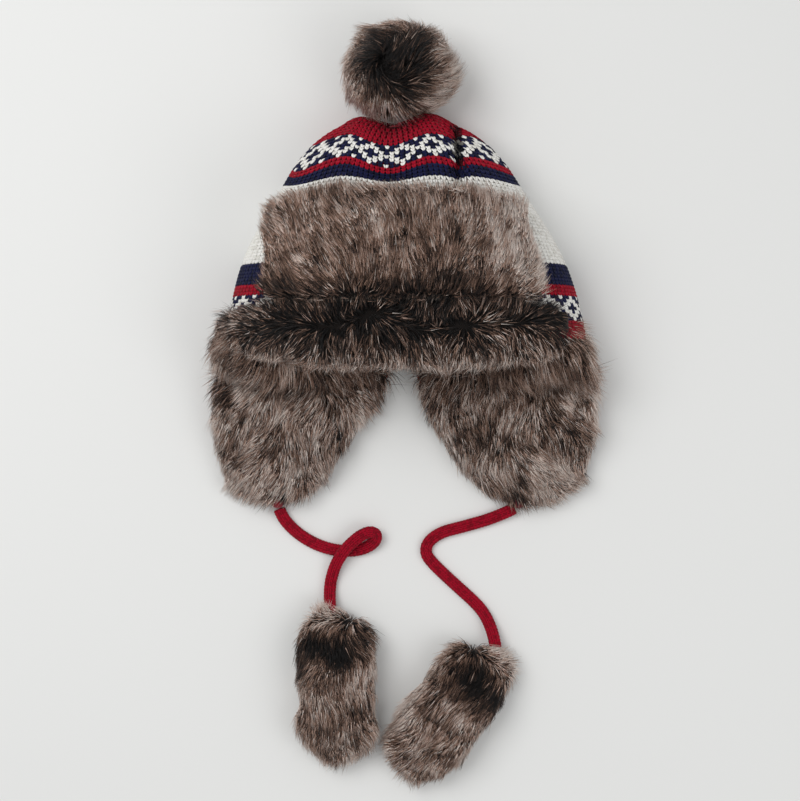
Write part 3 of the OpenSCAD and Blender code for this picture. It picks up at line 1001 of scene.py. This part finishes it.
brow_rings = rim_roll(rounded(BROW, 2), 176, 30, 90, 0.95, 0.9)
brow_piece, brow_skin = loft("brow_band_skin", brow_rings, hide.material)


def brow_keep(root, normal):
    """The band stops short on the wearer's left, where the knitted rim shows beside it."""
    return root[:, 0] < np.minimum(104, 62 - root[:, 1])


brow_pile = fur(
    "brow_band_pile", brow_skin, 18500, brow_comb, brow_tone, 4, length=14.5, lift=0.5, cell=7.0,
    pull=0.55, spread=0.2, guard=0.3, keep=brow_keep,
)
dress("hat", brow_piece, [brow_pile], "brow_band_fur")


def nape_comb(root, normal):
    """Hair runs forwards and slightly apart."""
    return np.stack([root[:, 0] / 123 * 0.4, np.full(len(root), -1.0), np.full(len(root), 0.2)], -1)


nape_rings = rim_roll(rounded(NAPE, 2), 358, 182, 90, 0.5)
nape_piece, nape_skin = loft("nape_band_skin", nape_rings, hide.material)
nape_pile = fur("nape_band_pile", nape_skin, 5000, nape_comb, brow_tone, 5, length=5.0, lift=0.35, cell=4.0)
dress("hat", nape_piece, [nape_pile], "nape_band_fur")

# %% [markdown]
# ## Ear flaps
#
# Each ear flap is a tongue of fur on a knitted outer. It lies open beside the other, fur side up, so the
# knit is only seen when the flap is lifted. Its fur swells past the middle and thins at the tip.

# %% Ear flap formula
EAR_FOLD_Y = -79.0
EAR_L = 84.0
EAR_KNIT_T = 3.0
EAR_FUR_H = 25.0


def ear_edges(side, d):
    """Both edges of a flap, d mm past its fold: gently curved outside, drawn in towards the tip."""
    draw = 14 * np.clip((d - 15) / 68, 0, 1) ** 3
    if side > 0:
        return 8 + 0.3 * d + 0.0036 * d**2, 131 - draw
    return -132 + draw, -12 - 0.66 * d


def ear_curl(x, d):
    """How far the outer edge curls up from the table where the flap joins the hat's side."""
    return 12 * np.clip((np.abs(x) - 92) / 42, 0, 1) ** 2 * (1 - np.clip(d / 60, 0, 1))


def ear_taper(u):
    """Share of its width that a flap keeps at u, which falls off near the tip."""
    return np.sqrt(1 - 0.9 * np.clip((u - 0.8) / 0.2, 0, 1) ** 2.5)


def ear_rings(side, low, top, steps, sides, shrink=0.0, reach=0.0):
    """Rings from the flap's tip to its fold, between the height low and the heights top(u)."""
    u = 1 - np.linspace(0, 1, steps)[:, None] ** 1.5
    d = u * (EAR_L - shrink + reach)
    edge_a, edge_b = ear_edges(side, d)
    half = ((edge_b - edge_a) / 2 - shrink) * ear_taper(u)
    turn = -np.linspace(0, 2 * np.pi, sides, endpoint=False)[None, :]
    x = (edge_a + edge_b) / 2 + half * spow(np.cos(turn), 0.8)
    y = EAR_FOLD_Y - 1 - d + 0 * x
    level = 0.5 + 0.5 * spow(np.sin(turn), 0.6)
    return np.stack([x, y, ear_curl(x, d) + low + (top(u) - low) * level], -1)


def ear_skin_top(u):
    """The skin's height over the table, which leaves the outer part of the fur's height to the pile."""
    full = 7 + (EAR_FUR_H - 7) * np.sin(np.pi * (0.05 + 0.9 * u) ** 0.8) ** 0.6
    return EAR_KNIT_T + 0.3 + (full - EAR_KNIT_T) * 0.66


def ear_comb(side):
    """Hair runs down to the tip and outwards."""
    def comb(root, normal):
        x, y = root[:, 0], root[:, 1]
        aside = 0.55 * np.sign(side) * ramp01(np.abs(x), 30, 120) + 0.5 * ripple(root, 45.0, 61 + side)
        return np.stack([aside, np.full(len(x), -0.9), np.full(len(x), -0.15)], -1)
    return comb


def ear_tone(root):
    """Dark near the hat, greyer down the flap, with soft patches."""
    down = ramp01(-root[:, 1], 80, 150)
    outside = ramp01(np.abs(root[:, 0]), 70, 125)
    return 0.47 + 0.14 * down + 0.10 * outside + 0.15 * ripple(root, 34.0, 63)


def facing_up(root, normal):
    """Leave out the hairs that would grow down into the table."""
    return normal[:, 2] > -0.35


for side, name in ((1, "left"), (-1, "right")):
    rings = ear_rings(side, EAR_KNIT_T + 0.3, ear_skin_top, 30, 72, shrink=3.0, reach=3.5)
    skin_piece, skin = loft(f"{name}_flap_skin", rings, hide.material)
    pile = fur(
        f"{name}_flap_pile", skin, 31000, ear_comb(side), ear_tone, 6 + side, length=16.0, lift=0.4,
        cell=5.5, spread=0.2, locks=0.15, streaks=0.17, guard=0.08, keep=facing_up,
    )
    dress(f"{name}_ear_flap", skin_piece, [pile], f"{name}_flap_fur")

# %% [markdown]
# Where an ear flap is sewn to the band, its fur runs on over the seam. A soft bolster along the seam
# carries that sweep of hair, so the fur is one coat from the brow to the flap's tip.

# %% Seam bolsters
def seam_rings(side):
    """A bolster of oval sections along the seam, blunt at both ends, which climbs with the hat's side."""
    share = np.linspace(0.01, 0.99, 40)[:, None]
    inner, outer = (14, 122) if side > 0 else (-16, -124)
    x = inner + (outer - inner) * share
    size = np.sqrt(1 - np.abs(2 * share - 1) ** 6)
    rise = ramp01(np.abs(x), 45, 112)
    fall = 12 * ramp01(x, 104, 126) + 3 * ramp01(-x, 108, 126)
    turn = np.linspace(0, 2 * np.pi, 24, endpoint=False)[None, :]
    y = -76 + 16 * rise - fall + (8 + 9 * rise) * size * np.cos(turn)
    z = 9 + 24 * rise + (5 + 16 * rise) * size * np.sin(turn)
    return np.stack(np.broadcast_arrays(x, y, z), -1)


for side, name in ((1, "left"), (-1, "right")):
    skin_piece, skin = loft(f"{name}_seam_skin", seam_rings(side), hide.material)
    pile = fur(
        f"{name}_seam_pile", skin, 11500, ear_comb(side), ear_tone, 40 + side, length=23.0, lift=0.34,
        cell=6.0, streaks=0.14, keep=facing_up,
    )
    for piece in (skin_piece, pile):
        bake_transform(piece)
        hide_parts("nape_band_fur")

# %% Knitted outers of the ear flaps
for side, name in ((1, "left"), (-1, "right")):
    rings = ear_rings(side, 0.9, lambda u: 0 * u + EAR_KNIT_T, 30, 72)
    outer, _ = loft(f"{name}_flap_outer", rings, YARN["red"][1])
    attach(outer, f"{name}_ear_flap")
    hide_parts(f"{name}_flap_knit")

    def under(row, share, side=side):
        """A point under the flap, where row runs from the fold and share from edge to edge."""
        d = np.clip(1 + row * TIE_ROW_H, 0, EAR_L)
        edge_a, edge_b = ear_edges(side, d)
        half = (edge_b - edge_a) / 2 * ear_taper(d / EAR_L) - 2
        x = (edge_a + edge_b) / 2 + half * (2 * share - 1)
        point = np.stack([x, EAR_FOLD_Y - 1 - d, ear_curl(x, d) + 1.1], -1)
        return point, np.broadcast_to([0.0, 0.0, -1.0], point.shape)

    rows_under = [(row, 30) for row in range(int(EAR_L / TIE_ROW_H) - 1)]
    stitches = knit_piece(f"{name}_flap_stitches", rows_under, under, plain_red, 0.75, 31)
    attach(stitches, f"{name}_ear_flap")

# %% [markdown]
# ## Tassels
#
# A tassel is a small stuffed pouch of fur, 100 mm long, with the tie knotted into its neck. Its hair runs
# from the neck to the foot and hides the neck's opening in a hollow, with painted shade in it.

# %% Tassel formula
TASSEL_L = 100.0
TASSEL_HALF_W = 27.0
TASSEL_HALF_H = 15.5
NECK_Z = 12.0


def tassel_rings(pivot, turn_deg, shift, inset):
    """Rings of a pouch from its foot to its neck, blunt at the neck and round at its foot, then placed."""
    u = 0.5 - 0.5 * np.cos(np.linspace(0.994, 0.006, 40)[:, None] * np.pi)
    full_h = TASSEL_HALF_H * np.sqrt(1 - np.abs(2 * u - 1) ** 3.5)
    half_w = np.maximum(TASSEL_HALF_W * np.sqrt(1 - np.abs(2 * u - 1) ** 5) - inset, 1.0)
    half_h = np.maximum(full_h - inset, 0.7)
    turn = np.linspace(0, 2 * np.pi, 48, endpoint=False)[None, :]
    x = shift * np.minimum(1, u / 0.12) + half_w * spow(np.cos(turn), 0.75)
    d = TASSEL_L * u - 2
    z = np.maximum(full_h, NECK_Z) + half_h * spow(np.sin(turn), 0.75)
    angle = np.radians(turn_deg)
    y = -d + 0 * x
    return np.stack([
        pivot[0] + x * np.cos(angle) - y * np.sin(angle),
        pivot[1] + x * np.sin(angle) + y * np.cos(angle),
        z,
    ], -1)


def tassel_fields(pivot, turn_deg):
    """Comb and tone of one tassel, in its own directions."""
    angle = np.radians(turn_deg)
    foot = np.array([np.sin(angle), -np.cos(angle), 0.0])
    across = np.array([np.cos(angle), np.sin(angle), 0.0])
    neck = np.array([pivot[0], pivot[1], NECK_Z])

    def comb(root, normal):
        arm = root - neck
        aside = (arm @ across / TASSEL_HALF_W)[:, None]
        down = (arm @ foot / TASSEL_L)[:, None]
        spread = np.tanh((down - 0.03) / 0.05)
        fan = aside * (0.2 + 0.4 * down) + 0.35 * ripple(root, 34.0, 71)[:, None]
        return foot * spread + across * fan

    def tone(root):
        down = (root - neck) @ foot / TASSEL_L
        aside = np.abs((root - neck) @ across) / TASSEL_HALF_W
        # Painted shade in the hollow below the neck, where the tie goes in.
        hollow = np.exp(-(((down - 0.17) / 0.11) ** 2)) * (1 - 0.6 * ramp01(aside, 0.55, 1.0))
        rim = 0.22 * ramp01(aside, 0.7, 1.05) + 0.3 * np.exp(-((down / 0.05) ** 2))
        edge = rim + 0.12 * ramp01(down, 0.8, 1)
        return 0.60 - 0.60 * hollow + edge + 0.12 * ripple(root, 28.0, 72) + 0.06 * ripple(root, 11.0, 73)

    return comb, tone


TASSELS = {
    "left": ((64.0, -280.0, 12.0), -37.0, -6.0),
    "right": ((-52.5, -249.0, 12.0), 1.0, 3.5),
}
tassel_pieces = {}
for seed, (name, (pivot, turn_deg, shift)) in enumerate(TASSELS.items()):
    rings = tassel_rings(pivot, turn_deg, shift, 4.5)
    skin_piece, skin = loft(f"{name}_tassel_skin", rings, hide.material)
    comb, tone = tassel_fields(pivot, turn_deg)
    pile = fur(f"{name}_tassel_pile", skin, 17500, comb, tone, 20 + seed, length=14.5, lift=0.42)
    dress(f"{name}_tassel", skin_piece, [pile], f"{name}_tassel_fur")
    tassel_pieces[name] = [skin_piece, pile]

# %% [markdown]
# ## Small parts and what hangs on the ties
#
# What the frame already has in its right shape stays: the stuffing, the knots and tacks, the gather thread
# and the button inside. They only need a finish. For each tie, what hangs on it is gathered.

# %% Finishes of the small parts
def finish_node(name, finish):
    """Give a carried-over node its finish."""
    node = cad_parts[name]
    node.data.materials.clear()
    node.data.materials.append(finish)


wadding = Finish("wadding", "#d9d5cc", 0.95, sheen=0.5, specular=0.1)
wadding.set(Roughness=wadding.noise(200) * 0.15 + 0.8)
wadding.relief(wadding.noise(600), 0.8, 0.001)
button = Finish("button", "#3a332e", 0.4, specular=0.5)
button.set(Base_Color=button.mix(button.noise(240), linear("#2c2521"), linear("#4a3f37")))
button.set(Roughness=button.noise(500) * 0.2 + 0.3)
thread = Finish("sewing thread", "#8c0d22", 0.7, sheen=0.2)
ply = thread.node("ShaderNodeTexWave", {"wave_type": "BANDS"}, out="Fac", Vector=thread.place, Scale=900.0)
thread.set(Roughness=ply * 0.2 + 0.6)
thread.relief(ply, 0.7, 0.0003)
cloth = Finish("blank label tape", "#f2f0ea", 0.8, sheen=0.2)
weave = cloth.node("ShaderNodeTexWave", {"wave_type": "BANDS"}, out="Fac", Vector=cloth.place, Scale=1400.0)
cloth.set(Roughness=weave * 0.15 + 0.7)
cloth.relief(weave, 0.5, 0.0002)

for name in ("pompom_stuffing", "left_tassel_stuffing", "right_tassel_stuffing"):
    finish_node(name, wadding.material)
for name in ("gather_thread", "pompom_tether", "left_tie_tack", "right_tie_tack"):
    finish_node(name, thread.material)
for name in ("left_tassel_knot", "right_tassel_knot"):
    finish_node(name, YARN["red"][0])
finish_node("anchor_button", button.material)


# %% Label
LINING_TOP = 7.4


def label_sheet():
    """A blank tape, 28 by 16 mm, sewn flat on the lining: a rounded slab with a slight bow."""
    x = np.linspace(-14, 14, 29)
    y = np.linspace(-8, 8, 17)
    grid = np.stack(np.meshgrid(x, y, indexing="ij"), -1)
    bow = 0.35 * np.cos(np.pi * grid[..., 0] / 28) * np.cos(np.pi * grid[..., 1] / 16)
    base = LINING_TOP + 0.1 + bow
    top = np.stack([grid[..., 0], grid[..., 1] - 30, base + 0.5], -1)
    low = np.stack([grid[..., 0], grid[..., 1] - 30, base], -1)
    return np.concatenate([top, low[:, ::-1]], axis=1)


label, _ = loft("label_tape", label_sheet(), cloth.material)
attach(label, "hat")
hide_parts("blank_label")

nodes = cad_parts
for name, strap, stitches, path, length in (
    ("left", left_strap, left_strap_stitches, left_path, left_length),
    ("right", right_strap, right_strap_stitches, right_path, right_length),
):
    on_tie = [stitches, *tassel_pieces[name]]
    on_tie += [nodes[f"{name}_{part}"] for part in ("tassel_stuffing", "tassel_knot", "tie_tack")]
